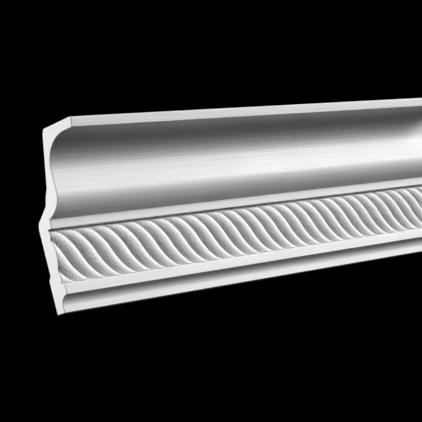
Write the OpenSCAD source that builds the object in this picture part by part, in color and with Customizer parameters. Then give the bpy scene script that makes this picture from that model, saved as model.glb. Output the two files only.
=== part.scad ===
// A length of foam cornice for the corner of a wall and a ceiling.
// X runs along the length, the wall lies on Y = 0 behind it and +Z is up.
// The origin is in the middle of the pad that is glued to the wall.

/* [Overall size] */
// Length of the piece, cut square at both ends
length = 550; // [200:10:1100]
// Height from the foot to the ceiling face
height = 150; // [120:1:200]
// How far the lip stands out from the wall
projection = 73; // [60:1:90]

/* [Heights, from the foot up] */
// Plain foot below the small cove
foot_h = 5.55; // [3:0.05:9]
// Fillet below the ribbed band
lower_fillet_h = 9.15; // [6:0.05:12]
// Ribbed band
band_h = 46.65; // [36:0.05:56]
// Fillet above the ribbed band
upper_fillet_h = 7.95; // [4.5:0.05:10.5]
// Ovolo above that fillet
ovolo_h = 15.6; // [12:0.1:19.5]
// Lip under the ceiling
lip_h = 8.7; // [6:0.1:12]

/* [Distances out from the wall] */
// Front of the foot
foot_out = 9.5; // [8:0.1:12]
// Front of the fillet below the ribs
lower_fillet_out = 17.9; // [16:0.1:21]
// Ground that the ribs stand on
ground_out = 14; // [12.5:0.1:15.5]
// Top of the fillet above the ribs
upper_fillet_out = 19.2; // [17.5:0.1:23]
// Face of the neck, between the ovolo and the large cove
neck_out = 35.2; // [32:0.1:38]
// Flat ledge between the large cove and the lip
ledge_w = 11.6; // [8:0.1:14]

/* [Ribs] */
// Distance from one rib to the next that is aimed at, before whole ribs are counted
rib_spacing = 18.3; // [14:0.1:24]
// Height of a rib above its ground, at the middle of the band
rib_relief = 3.1; // [1:0.1:3.6]
// Shape of a rib across: 1 is a sharp roof and 2 a round arch
rib_roof = 1.9; // [1.2:0.05:2]
// Place of a rib's crest across it, as a share of the spacing
rib_crest = 0.56; // [0.4:0.01:0.6]
// How far a rib leans along the length, as a share of the spacing
rib_lean = 1.2; // [0.6:0.05:1.6]
// How far its two curled ends run on, as a share of the spacing
rib_curl = 1.5; // [0.8:0.05:2]
// Where the first valley crosses the middle of the band, as a share of the spacing
rib_start = 0.61; // [0:0.01:1]

/* [Back] */
// Thickness of the shell behind the neck
shell = 8.5; // [7:0.1:10.5]
// Height of the pad that is glued to the wall
pad_h = 29; // [20:0.5:32]
// Depth of the recess above the pad
recess = 2.9; // [1:0.1:4]

/* [Hidden] */
$fn = 96;

// slope of the lip and of the upper fillet, which lean back as they go down
lip_draft = 1.4;
fillet_draft = 0.7;
// how far the band of ribs is let into the body behind it
bite = 1.5;
// how far the band of ribs runs in behind the two fillets
tip_cover = 0.5;
// plain ground between the tips of the ribs and the fillets over and under them
top_strip = 1.5;
foot_strip = 0.6;

// levels of the front, from the foot up
small_cove_r = lower_fillet_out - foot_out;
band_foot = foot_h + small_cove_r + lower_fillet_h;
band_top = band_foot + band_h;
ovolo_foot = band_top + upper_fillet_h;
neck_foot = ovolo_foot + ovolo_h;
lip_foot = height - lip_h;
// the large cove is a quarter circle, flattened where the neck leaves it less height than that
cove_r = projection - ledge_w - neck_out;
cove_rise = min(cove_r, lip_foot - neck_foot);
cove_foot = lip_foot - cove_rise;
// level at which the back turns out behind the large cove, so that the shell stays thick there
back_bend = max(neck_foot + 1.13 * shell, cove_foot - 1.435 * shell);

// ribs: whole ones along the length, so that two lengths meet with the pattern unbroken
ribs = round(length / rib_spacing);
pitch = length / ribs;
// one rib across: shares of the pitch from valley to valley, with the height over the ground at each
rib_steps = [0, rib_crest / 2, rib_crest, (1 + rib_crest) / 2];
function rib_arch(share) =
    1 - pow(abs(share - rib_crest) / (share < rib_crest ? rib_crest : 1 - rib_crest), rib_roof);
// one rib down the band: the turn goes from -90 at its upper tip to 90 at its lower tip
upper_tip = band_top - top_strip;
lower_tip = band_foot + foot_strip;
function rib_shift(turn) = pitch * (rib_lean / 2 * sin(turn)
    + sign(turn) * rib_curl / 2 * (1 - cos(turn)));
function rib_level(turn) = upper_tip + (lower_tip - upper_tip) * (1 + sin(turn)) / 2;
function rib_height(turn) = rib_relief * pow(cos(turn), turn < 0 ? 0.8 : 1);
// the rows of the band: its covered top edge, the ribs from tip to tip, and its covered foot
rows = concat(
    [[-90, band_top + tip_cover]],
    [for (turn = [-90:15:90]) [turn, rib_level(turn)]],
    [[90, band_foot - tip_cover]]
);

// The front of the section, with the corners that the coves are cut from still whole
module front_mass() {
    polygon([
        [0, 0], [foot_out, 0], [foot_out, foot_h],
        [lower_fillet_out, foot_h], [lower_fillet_out, band_foot],
        [ground_out - bite, band_foot], [ground_out - bite, band_top],
        [upper_fillet_out - fillet_draft, band_top], [upper_fillet_out, ovolo_foot],
        [neck_out, neck_foot], [neck_out, cove_foot],
        [neck_out + cove_r, cove_foot], [neck_out + cove_r, lip_foot],
        [projection - lip_draft, lip_foot], [projection, height], [0, height]
    ]);
    ovolo();
}

// The ovolo: the round that bulges past the slope between the upper fillet and the neck
module ovolo() {
    run = neck_out - upper_fillet_out;
    rise = neck_foot - ovolo_foot;
    chord = norm([run, rise]);
    bulge = 0.128 * chord;
    radius = (chord * chord / 4 + bulge * bulge) / (2 * bulge);
    back_off = radius - bulge;
    intersection() {
        translate([upper_fillet_out, ovolo_foot]) square([run, rise]);
        translate([
            upper_fillet_out + run / 2 - back_off * rise / chord,
            ovolo_foot + rise / 2 + back_off * run / chord
        ]) circle(radius);
    }
}

// The hollow at the back: a shallow recess over the pad, then open space up to the ceiling
module back_hollow() {
    polygon([
        [-1, pad_h - recess], [0, pad_h], [recess, pad_h + 1.4 * recess],
        [recess, ovolo_foot - 1.6 * recess], [1.5 * recess, ovolo_foot],
        [neck_out - 2.05 * shell, neck_foot - 0.5 * shell],
        [neck_out - 1.7 * shell, neck_foot + 0.4 * shell],
        [neck_out - 1.28 * shell, back_bend],
        [neck_out, height - 0.5 * shell],
        [neck_out + 0.27 * shell, height],
        [neck_out + 0.27 * shell, height + 1], [-1, height + 1]
    ]);
}

// The whole section; x is the distance out from the wall and y the height over the foot
module section() {
    difference() {
        front_mass();
        back_hollow();
        translate([neck_out + cove_r, cove_foot])
            scale([1, cove_rise / cove_r]) circle(cove_r);
        translate([lower_fillet_out, foot_h]) circle(small_cove_r);
    }
}

// The band of ribs as one closed solid that runs past both ends of the piece.
// Its front is a grid: the rows go down the band and the columns follow the ribs.
module rib_band() {
    columns = [for (rib = [-2:ribs + 2]) for (step = rib_steps) [rib + step, rib_arch(step)]];
    front = [for (row = rows) for (column = columns) [
        (rib_start + column[0]) * pitch + rib_shift(row[0]),
        -ground_out - rib_height(row[0]) * column[1],
        row[1]
    ]];
    across = len(columns);
    last_row = len(rows) - 1;
    last_column = across - 1;
    // the flat back has one point behind each end of each row
    back = [for (row = [0:last_row]) for (column = [0, last_column])
        let (p = front[row * across + column]) [p[0], -ground_out + 2 * bite, p[2]]];
    left = [for (row = [0:last_row]) row * across];
    right = [for (first = left) first + last_column];
    back_left = [for (row = [0:last_row]) len(front) + 2 * row];
    back_right = [for (point = back_left) point + 1];
    faces = concat(
        [for (row = [0:last_row - 1]) for (column = [0:last_column - 1])
            let (p = left[row] + column) [p, p + 1, p + across]],
        [for (row = [0:last_row - 1]) for (column = [0:last_column - 1])
            let (p = left[row] + column) [p + 1, p + across + 1, p + across]],
        [for (row = [0:last_row - 1])
            [left[row], left[row + 1], back_left[row + 1], back_left[row]]],
        [for (row = [0:last_row - 1])
            [right[row + 1], right[row], back_right[row], back_right[row + 1]]],
        [for (row = [0:last_row - 1])
            [back_left[row], back_left[row + 1], back_right[row + 1], back_right[row]]],
        [concat([back_left[0], back_right[0]], [for (column = [last_column:-1:0]) column])],
        [concat([back_right[last_row], back_left[last_row]],
            [for (column = [0:last_column]) left[last_row] + column])]
    );
    polyhedron(points = concat(front, back), faces = faces);
}

// The whole piece: the plain section and the ribs, cut off together at both ends
module cornice_length() {
    color("whitesmoke")
        translate([-length / 2, 0, -pad_h / 2])
            intersection() {
                union() {
                    mirror([0, 1, 0]) rotate([90, 0, 90])
                        translate([0, 0, -pitch]) linear_extrude(length + 2 * pitch) section();
                    rib_band();
                }
                translate([0, -projection - 1, -1]) cube([length, projection + 2, height + 2]);
            }
}

cornice_length();
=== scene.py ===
import math

import bmesh
import bpy
from bpy.props import FloatProperty, FloatVectorProperty, IntProperty, PointerProperty
from mathutils import Matrix, Vector


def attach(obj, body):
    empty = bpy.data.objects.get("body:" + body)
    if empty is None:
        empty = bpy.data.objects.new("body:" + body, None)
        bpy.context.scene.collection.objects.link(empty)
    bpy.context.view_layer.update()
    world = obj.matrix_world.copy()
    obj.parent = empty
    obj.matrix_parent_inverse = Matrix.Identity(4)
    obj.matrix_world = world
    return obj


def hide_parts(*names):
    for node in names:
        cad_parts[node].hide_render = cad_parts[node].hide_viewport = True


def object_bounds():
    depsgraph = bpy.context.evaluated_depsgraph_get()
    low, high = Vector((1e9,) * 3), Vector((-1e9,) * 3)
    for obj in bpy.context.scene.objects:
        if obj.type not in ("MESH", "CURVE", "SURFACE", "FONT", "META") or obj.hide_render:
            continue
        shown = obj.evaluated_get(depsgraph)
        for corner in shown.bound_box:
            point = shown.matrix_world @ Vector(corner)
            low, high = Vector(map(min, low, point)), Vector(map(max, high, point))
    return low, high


bl_info = {
    "name": "Foam cornice length",
    "version": (1, 0, 0),
    "blender": (4, 5, 0),
    "location": "View3D > Sidebar > Cornice",
    "description": "Models a length of foam cornice with a band of slanting ribs, and its studio",
    "category": "Add Mesh",
}

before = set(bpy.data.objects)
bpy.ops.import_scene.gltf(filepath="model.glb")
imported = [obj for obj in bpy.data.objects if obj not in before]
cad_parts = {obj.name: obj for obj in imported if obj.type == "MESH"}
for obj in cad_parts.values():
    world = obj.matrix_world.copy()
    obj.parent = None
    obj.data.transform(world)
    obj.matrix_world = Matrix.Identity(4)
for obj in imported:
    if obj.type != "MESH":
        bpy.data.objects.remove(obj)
CAD_LOW, CAD_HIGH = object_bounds()
NODE = "cornice_length"
BODY = "root"

# The box gives the overall sizes: the wall is at its back and the origin is mid-way up the wall pad.
LENGTH = CAD_HIGH.x - CAD_LOW.x
HEIGHT = CAD_HIGH.z - CAD_LOW.z
PROJECTION = CAD_HIGH.y - CAD_LOW.y
FOOT = CAD_LOW.z


# ---------------------------------------------------------------- sizes and colours

class CorniceSizes(bpy.types.PropertyGroup):
    """Sizes of the moulded section and of its ribs"""

    foot_h: FloatProperty(
        name="Foot height", description="Plain foot below the small cove",
        default=0.00555, unit="LENGTH")
    lower_fillet_h: FloatProperty(
        name="Lower fillet height", description="Fillet below the ribbed band",
        default=0.00915, unit="LENGTH")
    band_h: FloatProperty(
        name="Band height", description="Band of ribs between the two fillets",
        default=0.04665, unit="LENGTH")
    upper_fillet_h: FloatProperty(
        name="Upper fillet height", description="Fillet above the ribbed band",
        default=0.00795, unit="LENGTH")
    ovolo_h: FloatProperty(
        name="Ovolo height", description="Round between the upper fillet and the neck",
        default=0.0156, unit="LENGTH")
    lip_h: FloatProperty(
        name="Lip height", description="Flat lip under the ceiling",
        default=0.0087, unit="LENGTH")
    foot_out: FloatProperty(
        name="Foot depth", description="Front of the foot, from the wall",
        default=0.0095, unit="LENGTH")
    lower_fillet_out: FloatProperty(
        name="Lower fillet depth", description="Front of the fillet below the ribs, from the wall",
        default=0.0179, unit="LENGTH")
    ground_out: FloatProperty(
        name="Rib ground depth", description="Ground that the ribs stand on, from the wall",
        default=0.014, unit="LENGTH")
    upper_fillet_out: FloatProperty(
        name="Upper fillet depth", description="Front of the fillet above the ribs, from the wall",
        default=0.0192, unit="LENGTH")
    neck_out: FloatProperty(
        name="Neck depth", description="Face of the neck, from the wall",
        default=0.0352, unit="LENGTH")
    ledge_w: FloatProperty(
        name="Ledge width", description="Flat ledge between the large cove and the lip",
        default=0.0116, unit="LENGTH")
    lip_draft: FloatProperty(
        name="Lip slope", description="How far the lip leans back as it goes down",
        default=0.0014, unit="LENGTH")
    fillet_draft: FloatProperty(
        name="Fillet slope", description="How far the upper fillet leans back as it goes down",
        default=0.0007, unit="LENGTH")
    shell: FloatProperty(
        name="Shell thickness", description="Thickness of the foam behind the neck",
        default=0.0085, unit="LENGTH")
    pad_h: FloatProperty(
        name="Wall pad height", description="Height of the pad that is glued to the wall",
        default=-2 * FOOT, unit="LENGTH")
    recess: FloatProperty(
        name="Back recess", description="Depth of the recess above the wall pad",
        default=0.0029, unit="LENGTH")
    arris: FloatProperty(
        name="Arris round", description="Rounding of the long cast edges",
        default=0.0005, unit="LENGTH")
    worn: FloatProperty(
        name="Worn edges", description="Rounding of the lip's top edge and of the fillet under the ribs",
        default=0.0014, unit="LENGTH")
    cut_edge: FloatProperty(
        name="Cut edge", description="Edge rubbed off all round each sawn end",
        default=0.0004, unit="LENGTH")
    ribs: IntProperty(
        name="Ribs", description="Whole ribs along the length", default=30, min=1)
    rib_relief: FloatProperty(
        name="Rib relief", description="Height of a rib over its ground at the middle of the band",
        default=0.0031, unit="LENGTH")
    rib_lean: FloatProperty(
        name="Rib lean", description="Lean of a rib along the length, in ribs", default=1.2)
    rib_curl: FloatProperty(
        name="Rib curl", description="Run of a rib's two curled ends, in ribs", default=1.5)
    rib_start: FloatProperty(
        name="Rib start", description="Place of the first valley at mid-band, in ribs", default=0.61)


class CorniceFinish(bpy.types.PropertyGroup):
    """Colours of the primed skin and of the sawn foam"""

    primer: FloatVectorProperty(
        name="Primer", description="White primer on the cast faces",
        subtype="COLOR", size=3, default=(0.83, 0.83, 0.825))
    foam: FloatVectorProperty(
        name="Sawn foam", description="Foam that the saw has laid open at both ends",
        subtype="COLOR", size=3, default=(0.86, 0.86, 0.85))


class CorniceStudio(bpy.types.PropertyGroup):
    """Camera, floor and lights"""

    distance: FloatProperty(
        name="Camera distance", description="From the camera to the point it looks at",
        default=1.482, unit="LENGTH")
    azimuth: FloatProperty(
        name="Camera azimuth", description="How far round to the cut end the camera stands",
        default=math.radians(48.0), subtype="ANGLE")
    rise: FloatProperty(
        name="Camera rise", description="How steeply the camera looks up",
        default=math.radians(7.06), subtype="ANGLE")
    roll: FloatProperty(
        name="Camera roll", description="Turn of the camera about its line of sight",
        default=math.radians(-14.69), subtype="ANGLE")
    lens: FloatProperty(
        name="Focal length", description="Focal length in millimetres on a 36 mm sensor", default=139.9)
    floor_drop: FloatProperty(
        name="Floor drop", description="Distance from the foot of the moulding down to the floor",
        default=1.2, unit="LENGTH")
    floor: FloatVectorProperty(
        name="Floor", description="Plain pale floor", subtype="COLOR", size=3, default=(0.5, 0.5, 0.5))
    key_power: FloatProperty(
        name="Key light", description="Power of the large soft light in front, in watts", default=9.9)
    kick_power: FloatProperty(
        name="End light", description="Power of the light on the cut end, in watts", default=1.0)
    back_power: FloatProperty(
        name="Back light", description="Power of the light on the back, in watts", default=1.0)
    ambient: FloatProperty(
        name="Ambient", description="Strength of the even light from all round", default=0.0)


# ---------------------------------------------------------------- modelling helpers

def deselect():
    """Leave edit mode and let go of everything that is selected"""
    if bpy.context.object is not None and bpy.context.object.mode != "OBJECT":
        bpy.ops.object.mode_set(mode="OBJECT")
    bpy.ops.object.select_all(action="DESELECT")


def start_piece(name):
    """Name the new primitive and open it in edit mode"""
    piece = bpy.context.object
    piece.name = piece.data.name = name
    bpy.ops.object.transform_apply(location=True, rotation=True, scale=True)
    bpy.ops.object.mode_set(mode="EDIT")
    return piece


def pick(piece, kind, test):
    """Select only the verts, edges or faces that pass the test"""
    bpy.ops.mesh.select_mode(type={"verts": "VERT", "edges": "EDGE", "faces": "FACE"}[kind])
    bpy.ops.mesh.select_all(action="DESELECT")
    bm = bmesh.from_edit_mesh(piece.data)
    found = [part for part in getattr(bm, kind) if test(part)]
    if not found:
        raise RuntimeError(f"{piece.name}: no {kind} where some should be")
    for part in found:
        part.select = True
    bm.select_flush_mode()
    bmesh.update_edit_mesh(piece.data)


def apply_modifier(piece, kind, **settings):
    """Add a modifier, set it and apply it"""
    if piece.mode != "OBJECT":
        bpy.ops.object.mode_set(mode="OBJECT")
    modifier = piece.modifiers.new(kind.title(), kind)
    for key, value in settings.items():
        setattr(modifier, key, value)
    bpy.ops.object.modifier_apply(modifier=modifier.name)


def at(out, up, along=0.0):
    """A point, from its place along the length, its distance out and its height over the foot"""
    return Vector((along, -out, FOOT + up))


# ---------------------------------------------------------------- the moulded section

BULGE = 0.128  # how far the ovolo bulges past the slope it stands on, as a share of that slope
EASE = 0.7  # radius of the turn between the ovolo and the neck, as a share of the ovolo's own
POCKET = 0.0015  # how far the body lies behind the ground of the ribs, which fill that pocket
TINY = 1e-6  # points nearer to each other than this are one point
ARRIS_ANGLE = math.radians(28)  # edges sharper than this get their arris rounded
OVERRUN = 3  # how many ribs the section is run on past each end before it is cut


def band_foot_level(s):
    """Height of the foot of the ribbed band over the foot of the section"""
    small_cove = s.lower_fillet_out - s.foot_out
    return s.foot_h + small_cove + s.lower_fillet_h


def section_walk(s):
    """The front and back of the section as runs to a point and turns about a centre"""
    cove = PROJECTION - s.ledge_w - s.neck_out
    band_foot = band_foot_level(s)
    band_top = band_foot + s.band_h
    ovolo_foot = band_top + s.upper_fillet_h
    neck_foot = ovolo_foot + s.ovolo_h
    lip_foot = HEIGHT - s.lip_h
    cove_foot = lip_foot - cove
    pocket = s.ground_out - POCKET

    run, rise = s.neck_out - s.upper_fillet_out, s.ovolo_h
    chord = math.hypot(run, rise)
    bulge = BULGE * chord
    radius = (chord * chord / 4 + bulge * bulge) / (2 * bulge)
    back_off = radius - bulge
    ovolo_centre = (
        s.upper_fillet_out + run / 2 - back_off * rise / chord,
        ovolo_foot + rise / 2 + back_off * run / chord)
    # a rounder turn carries the ovolo into the upright neck with no crease
    ease = EASE * radius
    ease_out = s.neck_out - ease
    ease_up = ovolo_centre[1] - math.sqrt((radius - ease) ** 2 - (ease_out - ovolo_centre[0]) ** 2)
    start_lean = math.atan2(ovolo_centre[1] - ovolo_foot, s.upper_fillet_out - ovolo_centre[0])
    ease_lean = math.atan2(ovolo_centre[1] - ease_up, ease_out - ovolo_centre[0])

    shell, recess = s.shell, s.recess
    return [
        ("run", (s.foot_out, s.foot_h)),
        ("turn", (s.lower_fillet_out, s.foot_h), -math.pi / 2, 10),
        ("run", (s.lower_fillet_out, band_foot - s.worn)),
        ("turn", (s.lower_fillet_out - s.worn, band_foot - s.worn), math.pi / 2, 5),
        ("run", (pocket, band_foot)),
        ("run", (pocket, band_top)),
        ("run", (s.upper_fillet_out - s.fillet_draft, band_top)),
        ("run", (s.upper_fillet_out, ovolo_foot)),
        ("turn", ovolo_centre, start_lean - ease_lean, 10),
        ("turn", (ease_out, ease_up), ease_lean, 8),
        ("run", (s.neck_out, cove_foot)),
        ("turn", (s.neck_out + cove, cove_foot), -math.pi / 2, 32),
        ("run", (PROJECTION - s.lip_draft, lip_foot)),
        ("run", (PROJECTION, HEIGHT - s.worn)),
        ("turn", (PROJECTION - s.worn, HEIGHT - s.worn), math.pi / 2, 5),
        # the back, down from the ceiling face: its bends lie off the front by shares of the shell
        ("run", (s.neck_out + 0.27 * shell, HEIGHT)),
        ("run", (s.neck_out, HEIGHT - 0.5 * shell)),
        ("run", (s.neck_out - 1.28 * shell, neck_foot + 1.13 * shell)),
        ("run", (s.neck_out - 1.7 * shell, neck_foot + 0.4 * shell)),
        ("run", (s.neck_out - 2.05 * shell, neck_foot - 0.5 * shell)),
        ("run", (1.5 * recess, ovolo_foot)),
        ("run", (recess, ovolo_foot - 1.6 * recess)),
        ("run", (recess, s.pad_h + 1.4 * recess)),
        ("run", (0.0, s.pad_h)),
        ("run", (0.0, 0.0)),
    ]


def run_section(s, overrun):
    """Run the section as a mould would: one long face at a time, round to where it began"""
    deselect()
    bpy.ops.mesh.primitive_plane_add(size=1, location=at(s.foot_out / 2, 0))
    bpy.context.object.scale = (LENGTH + 2 * overrun, s.foot_out, 1)
    piece = start_piece(NODE + "_finish")
    edge_y = -s.foot_out
    pick(piece, "edges", lambda e: all(abs(v.co.y - edge_y) < TINY for v in e.verts))
    here = Vector((s.foot_out, 0.0))
    for step in section_walk(s):
        if step[0] == "run":
            there = Vector(step[1])
            move = there - here
            bpy.ops.mesh.extrude_region_move(
                TRANSFORM_OT_translate={"value": (0, -move.x, move.y)})
            here = there
        else:
            centre, turn, steps = Vector(step[1]), step[2], step[3]
            bpy.ops.mesh.spin(steps=steps, angle=turn, center=at(*centre), axis=(1, 0, 0))
            here = centre + Matrix.Rotation(turn, 2) @ (here - centre)
    bpy.ops.mesh.select_all(action="SELECT")
    bpy.ops.mesh.remove_doubles(threshold=TINY)
    apply_modifier(
        piece, "BEVEL", width=s.arris, segments=3, limit_method="ANGLE",
        angle_limit=ARRIS_ANGLE, harden_normals=False)
    bpy.ops.object.mode_set(mode="EDIT")
    for end in (-1, 1):
        far = end * (LENGTH / 2 + overrun)
        pick(piece, "edges", lambda e: all(abs(v.co.x - far) < TINY for v in e.verts))
        bpy.ops.mesh.edge_face_add()
    bpy.ops.mesh.select_all(action="SELECT")
    bpy.ops.mesh.normals_make_consistent(inside=False)
    bpy.ops.object.mode_set(mode="OBJECT")
    return piece


# ---------------------------------------------------------------- the band of ribs

RIB_STEPS = 16  # faces across one rib
RIB_ROWS = 44  # faces down one rib
TIP_COVER = 0.0005  # how far the tips run in behind the two fillets
BITE = 0.003  # how deep the band is let into the body
ROOF = 1.9  # shape of a rib across: 1 is a sharp roof, 2 a round arch
CREST = 0.56  # place of a rib's crest across it
UPPER_TIP, LOWER_TIP = 0.8, 1.0  # how soon a rib thins out towards its two tips
TOP_STRIP = 0.0015  # plain ground between the upper tips and the fillet over them
FOOT_STRIP = 0.0006  # plain ground between the lower tips and the fillet under them
SPARE_START = 2  # ribs before the near end, which the cut takes off
SPARE_RIBS = 5  # spare ribs in all, at both ends


def model_ribs(s, pitch):
    """Shape one rib from a flat blank, repeat it along the length and back it with a solid"""
    band_foot = FOOT + band_foot_level(s)
    top_edge = band_foot + s.band_h + TIP_COVER
    foot_edge = band_foot - TIP_COVER
    upper_tip = band_foot + s.band_h - TOP_STRIP
    lower_tip = band_foot + FOOT_STRIP
    blank = Vector((-2.0, 0.0, 2.0))
    deselect()
    bpy.ops.mesh.primitive_grid_add(
        x_subdivisions=RIB_STEPS, y_subdivisions=RIB_ROWS, size=1,
        location=blank, rotation=(math.pi / 2, 0, 0))
    band = start_piece("rib_band")
    # across: each line of points is raised to its place on the rib's rounded roof
    for line in range(RIB_STEPS + 1):
        share = line / RIB_STEPS
        x = blank.x - 0.5 + share
        side = CREST if share < CREST else 1 - CREST
        rise = 1 - (abs(share - CREST) / side) ** ROOF
        pick(band, "verts", lambda v: abs(v.co.x - x) < 1e-4)
        bpy.ops.transform.translate(value=(pitch * share - x, -s.rib_relief * rise, 0))
    # down: each row is lowered to its level, thinned towards the tips and slid along
    for row in range(RIB_ROWS + 1):
        step = min(max(row - 1, 0), RIB_ROWS - 2)
        turn = math.pi * (step / (RIB_ROWS - 2) - 0.5)
        z = blank.z + 0.5 - row / RIB_ROWS
        level = upper_tip + (lower_tip - upper_tip) * (1 + math.sin(turn)) / 2
        level = {0: top_edge, RIB_ROWS: foot_edge}.get(row, level)
        slide = pitch * (
            s.rib_lean / 2 * math.sin(turn)
            + math.copysign(s.rib_curl / 2 * (1 - math.cos(turn)), turn))
        thin = max(math.cos(turn), 1e-9) ** (UPPER_TIP if turn < 0 else LOWER_TIP)
        pick(band, "verts", lambda v: abs(v.co.z - z) < 1e-4)
        bpy.ops.transform.resize(value=(1, thin, 1), center_override=(0, 0, 0))
        bpy.ops.transform.translate(value=(slide, -s.ground_out, level - z))
    apply_modifier(
        band, "ARRAY", count=s.ribs + SPARE_RIBS, use_relative_offset=False, use_constant_offset=True,
        constant_offset_displace=(pitch, 0, 0), use_merge_vertices=True, merge_threshold=1e-5)
    bpy.ops.object.mode_set(mode="EDIT")
    bpy.ops.mesh.select_all(action="SELECT")
    bpy.ops.transform.translate(value=(-LENGTH / 2 + (s.rib_start - SPARE_START) * pitch, 0, 0))
    bpy.ops.mesh.extrude_region_move(TRANSFORM_OT_translate={"value": (0, BITE + s.rib_relief, 0)})
    back = -s.ground_out + BITE
    bpy.ops.transform.resize(value=(1, 0, 1), center_override=(0, back, 0))
    bpy.ops.mesh.dissolve_faces()
    bpy.ops.mesh.select_all(action="SELECT")
    bpy.ops.mesh.normals_make_consistent(inside=False)
    bpy.ops.object.mode_set(mode="OBJECT")
    return band


def weld_and_cut(s, piece, band):
    """Make the ribs one with the section, then saw both ends off square"""
    deselect()
    piece.select_set(True)
    bpy.context.view_layer.objects.active = piece
    apply_modifier(piece, "BOOLEAN", operation="UNION", solver="EXACT", object=band)
    bpy.data.objects.remove(band)
    bpy.ops.object.mode_set(mode="EDIT")
    bpy.ops.mesh.select_mode(type="VERT")
    for end in (-1, 1):
        cut = end * (LENGTH / 2 - s.cut_edge)
        bpy.ops.mesh.select_all(action="SELECT")
        bpy.ops.mesh.bisect(
            plane_co=(cut, 0, 0), plane_no=(end, 0, 0),
            use_fill=True, clear_outer=True, threshold=TINY)
        pick(piece, "verts", lambda v: abs(v.co.x - cut) < 1e-5)
        bpy.ops.mesh.remove_doubles(threshold=0.2 * s.cut_edge)
        pick(piece, "faces", lambda f: all(abs(v.co.x - cut) < 1e-5 for v in f.verts))
        bpy.ops.mesh.inset(thickness=s.cut_edge, depth=s.cut_edge, use_even_offset=False)
    bpy.ops.mesh.select_all(action="SELECT")
    bpy.ops.mesh.remove_doubles(threshold=TINY)
    bpy.ops.object.mode_set(mode="OBJECT")


# ---------------------------------------------------------------- materials

MASK_EDGE = 700.0  # steepness of a mask's edge: it fades over 1 / 700 of a metre
RIB_SIDE = 0.8  # share of the ribs' ground depth past which a face belongs to the front


class Wire:
    """A socket that can be used in sums; each sum adds its Math node"""

    def __init__(self, nodes, socket):
        self.nodes, self.socket = nodes, socket

    def _math(self, operation, first, second):
        return self.nodes.add(
            "ShaderNodeMath", {"operation": operation}, {0: first, 1: second})

    def __add__(self, other):
        return self._math("ADD", self, other)

    def __radd__(self, other):
        return self._math("ADD", other, self)

    def __sub__(self, other):
        return self._math("SUBTRACT", self, other)

    def __rsub__(self, other):
        return self._math("SUBTRACT", other, self)

    def __mul__(self, other):
        return self._math("MULTIPLY", self, other)

    def __rmul__(self, other):
        return self._math("MULTIPLY", other, self)


class Nodes:
    """A material's node tree, built from plain expressions"""

    def __init__(self, name):
        self.material = bpy.data.materials.new(name)
        self.material.use_nodes = True
        self.tree = self.material.node_tree
        self.shader = self.tree.nodes["Principled BSDF"]

    def fill(self, node, sockets):
        """Give a node's sockets their values, or lead a wire to them"""
        for key, value in sockets.items():
            if isinstance(value, Wire):
                self.tree.links.new(value.socket, node.inputs[key])
            else:
                node.inputs[key].default_value = value

    def add(self, kind, settings=None, sockets=None, output=0):
        """Add one node: its type, its settings, then the values or wires of its sockets"""
        node = self.tree.nodes.new(kind)
        for key, value in (settings or {}).items():
            setattr(node, key, value)
        self.fill(node, sockets or {})
        return Wire(self, node.outputs[output])

    def shade(self, **sockets):
        """Fill the sockets of the material's shader and give the finished material back"""
        self.fill(self.shader, {key.replace("_", " "): value for key, value in sockets.items()})
        return self.material

    def place(self, stretch=(1, 1, 1)):
        """Object coordinates, stretched"""
        here = self.add("ShaderNodeTexCoord", output="Object")
        return self.add("ShaderNodeMapping", None, {"Vector": here, "Scale": stretch})

    def noise(self, vector, scale, detail=3.0, roughness=0.5):
        """Soft noise from 0 to 1"""
        return self.add("ShaderNodeTexNoise", None, {
            "Vector": vector, "Scale": scale, "Detail": detail, "Roughness": roughness})

    def mix(self, factor, low, high):
        """Colour between two, by a factor from 0 to 1"""
        node = self.tree.nodes.new("ShaderNodeMix")
        node.data_type = "RGBA"
        self.fill(node, {0: factor, 6: (*low, 1), 7: (*high, 1)})
        return Wire(self, node.outputs[2])

    def clamped(self, value):
        """The value, kept from 0 to 1"""
        return self.add("ShaderNodeMath", {"operation": "ADD", "use_clamp": True}, {0: value, 1: 0.0})

    def bump(self, height, strength, distance):
        """A normal that is tilted by a height"""
        return self.add("ShaderNodeBump", None, {
            "Height": height, "Strength": strength, "Distance": distance})


def primer_material(colour, ground_out, band_foot, band_top):
    """Matt white primer over the cast skin: drawn streaks along the length, pimpled on the ribs"""
    n = Nodes("white primer")
    here = n.place()
    front = n.add("ShaderNodeSeparateXYZ", None, {"Vector": here}, output=1)
    level = n.add("ShaderNodeSeparateXYZ", None, {"Vector": here}, output=2)
    in_band = n.clamped((level - band_foot) * MASK_EDGE) * n.clamped((band_top - level) * MASK_EDGE)
    on_ribs = in_band * n.clamped((-RIB_SIDE * ground_out - front) * MASK_EDGE)
    streaks = n.noise(n.place((0.03, 1, 1)), 420.0, 3.0, 0.6)
    clouds = n.noise(here, 14.0, 2.0)
    grain = n.noise(here, 650.0, 3.0, 0.7)
    tone = 0.4 * streaks + 0.3 * clouds + 0.3 * grain
    dull = tuple(0.9 * part for part in colour)
    bright = tuple(min(1.07 * part, 0.9) for part in colour)
    height = 0.6 * streaks + grain * (0.3 + 2.2 * on_ribs)
    return n.shade(
        Base_Color=n.mix(tone, dull, bright),
        Roughness=0.46 + 0.16 * clouds,
        Normal=n.bump(height, 0.7, 0.0005))


def sawn_material(colour):
    """Foam laid open by the saw: fine closed cells and faint saw marks"""
    n = Nodes("sawn foam")
    here = n.place()
    cells = n.add("ShaderNodeTexVoronoi", {"feature": "F1"}, {"Vector": here, "Scale": 1500.0})
    clouds = n.noise(here, 60.0, 3.0)
    saw = n.noise(n.place((1, 1, 0.03)), 1200.0, 1.0)
    dull = tuple(0.92 * part for part in colour)
    return n.shade(
        Base_Color=n.mix(0.5 * cells + 0.5 * clouds, colour, dull),
        Roughness=0.78 + 0.1 * clouds,
        Normal=n.bump(0.6 * cells + 0.4 * saw, 0.2, 0.0002))


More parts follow.
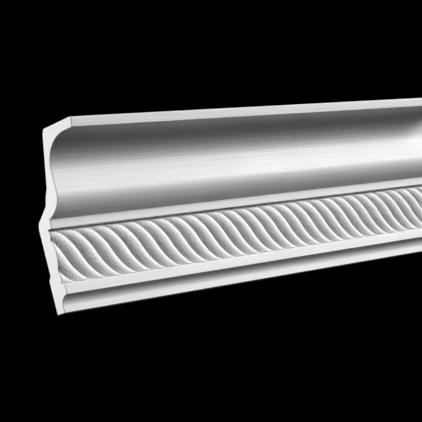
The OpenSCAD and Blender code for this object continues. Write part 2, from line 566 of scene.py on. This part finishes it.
def plain_material(name, colour, roughness):
    """One even colour, for the stage"""
    n = Nodes(name)
    return n.shade(Base_Color=(*colour, 1), Roughness=roughness)


# ---------------------------------------------------------------- operators

SMOOTH_ANGLE = math.radians(26)  # faces that meet at less than this are shaded as one
FLOOR_SIZE = 6.0
LAMP_SPREAD = math.radians(36)
# where each lamp stands from what it is aimed at, and how wide it is
KEY_PLACE, KEY_SIZE = Vector((2.33, -1.67, 0.88)), 1.6
KICK_PLACE, KICK_SIZE = Vector((-0.95, 0.6, 0.4)), 0.5
BACK_PLACE, BACK_SIZE = Vector((0.6, 1.3, 0.9)), 0.8
# the point that the camera looks at, as shares of the length, projection and height of the box
AIM = (-1 / 6, -0.41, 0.442)
SENSOR = 36

class CORNICE_OT_length(bpy.types.Operator):
    """Model the length of cornice, with its ribs, and give it its finish"""

    bl_idname = "cornice.length"
    bl_label = "Cornice length"
    bl_options = {"REGISTER", "UNDO"}

    def execute(self, context):
        s = context.scene.cornice_sizes
        finish = context.scene.cornice_finish
        pitch = LENGTH / s.ribs
        piece = run_section(s, OVERRUN * pitch)
        weld_and_cut(s, piece, model_ribs(s, pitch))
        band_foot = FOOT + band_foot_level(s)
        piece.data.materials.append(
            primer_material(finish.primer, s.ground_out, band_foot, band_foot + s.band_h))
        piece.data.materials.append(sawn_material(finish.foam))
        for face in piece.data.polygons:
            sawn = abs(abs(face.center.x) - LENGTH / 2) < 1e-5 and abs(face.normal.x) > 0.99
            face.material_index = int(sawn)
        deselect()
        piece.select_set(True)
        context.view_layer.objects.active = piece
        bpy.ops.object.shade_smooth_by_angle(angle=SMOOTH_ANGLE)
        apply_modifier(
            piece, "WEIGHTED_NORMAL", mode="FACE_AREA_WITH_ANGLE", weight=50, keep_sharp=True)
        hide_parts(NODE)
        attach(piece, BODY)
        return {"FINISHED"}


class CORNICE_OT_stage(bpy.types.Operator):
    """Set up the plain floor, the soft lights and the camera"""

    bl_idname = "cornice.stage"
    bl_label = "Stage"
    bl_options = {"REGISTER", "UNDO"}

    def execute(self, context):
        studio = context.scene.cornice_studio
        self.floor(studio)
        self.lights(context, studio)
        self.camera(context, studio)
        return {"FINISHED"}

    def floor(self, studio):
        deselect()
        bpy.ops.mesh.primitive_plane_add(size=FLOOR_SIZE, location=(0, 0, FOOT - studio.floor_drop))
        floor = bpy.context.object
        floor.name = "floor"
        floor.data.materials.append(plain_material("pale floor", studio.floor, 0.8))

    def lights(self, context, studio):
        middle = Vector((0, -PROJECTION / 2, FOOT + HEIGHT / 2))
        near_end = middle + Vector((-LENGTH / 2, 0, 0))
        self.lamp("key light", middle + KEY_PLACE, middle, KEY_SIZE, studio.key_power)
        self.lamp("end light", near_end + KICK_PLACE, near_end, KICK_SIZE, studio.kick_power)
        self.lamp("back light", middle + BACK_PLACE, middle, BACK_SIZE, studio.back_power)
        world = context.scene.world or bpy.data.worlds.new("studio")
        context.scene.world = world
        world.use_nodes = True
        background = world.node_tree.nodes["Background"]
        background.inputs["Color"].default_value = (1, 1, 1, 1)
        background.inputs["Strength"].default_value = studio.ambient

    def lamp(self, name, place, target, size, power):
        deselect()
        bpy.ops.object.light_add(type="AREA", location=place)
        lamp = bpy.context.object
        lamp.name = lamp.data.name = name
        lamp.data.size = size
        lamp.data.energy = power
        lamp.data.spread = LAMP_SPREAD
        lamp.rotation_euler = (target - place).to_track_quat("-Z", "Y").to_euler()

    def camera(self, context, studio):
        line = Vector((
            math.sin(studio.azimuth) * math.cos(studio.rise),
            math.cos(studio.azimuth) * math.cos(studio.rise),
            math.sin(studio.rise)))
        target = Vector((AIM[0] * LENGTH, AIM[1] * PROJECTION, FOOT + AIM[2] * HEIGHT))
        deselect()
        bpy.ops.object.camera_add(location=target - line * studio.distance)
        camera = bpy.context.object
        camera.name = "camera"
        upright = line.to_track_quat("-Z", "Y").to_matrix()
        camera.rotation_euler = (upright @ Matrix.Rotation(studio.roll, 3, "Z")).to_euler()
        camera.data.lens = studio.lens
        camera.data.sensor_width = SENSOR
        context.scene.camera = camera
        # the looks on offer depend on the view transform, so that is set first
        context.scene.view_settings.view_transform = "Standard"
        context.scene.view_settings.look = "Medium High Contrast"


class CORNICE_PT_panel(bpy.types.Panel):
    """Lists the parts of the cornice and the stage"""

    bl_idname = "CORNICE_PT_panel"
    bl_label = "Foam cornice"
    bl_space_type = "VIEW_3D"
    bl_region_type = "UI"
    bl_category = "Cornice"

    def draw(self, context):
        for group in ("cornice_sizes", "cornice_finish", "cornice_studio"):
            owner = getattr(context.scene, group)
            box = self.layout.box()
            for name in owner.__annotations__:
                box.prop(owner, name)
        self.layout.operator(CORNICE_OT_length.bl_idname)
        self.layout.operator(CORNICE_OT_stage.bl_idname)


CLASSES = (
    CorniceSizes, CorniceFinish, CorniceStudio,
    CORNICE_OT_length, CORNICE_OT_stage, CORNICE_PT_panel)


def register():
    for kind in CLASSES:
        bpy.utils.register_class(kind)
    bpy.types.Scene.cornice_sizes = PointerProperty(type=CorniceSizes)
    bpy.types.Scene.cornice_finish = PointerProperty(type=CorniceFinish)
    bpy.types.Scene.cornice_studio = PointerProperty(type=CorniceStudio)


def unregister():
    del bpy.types.Scene.cornice_sizes
    del bpy.types.Scene.cornice_finish
    del bpy.types.Scene.cornice_studio
    for kind in reversed(CLASSES):
        bpy.utils.unregister_class(kind)


def main():
    register()
    bpy.ops.cornice.length()
    bpy.ops.cornice.stage()


if __name__ == "__main__":
    main()
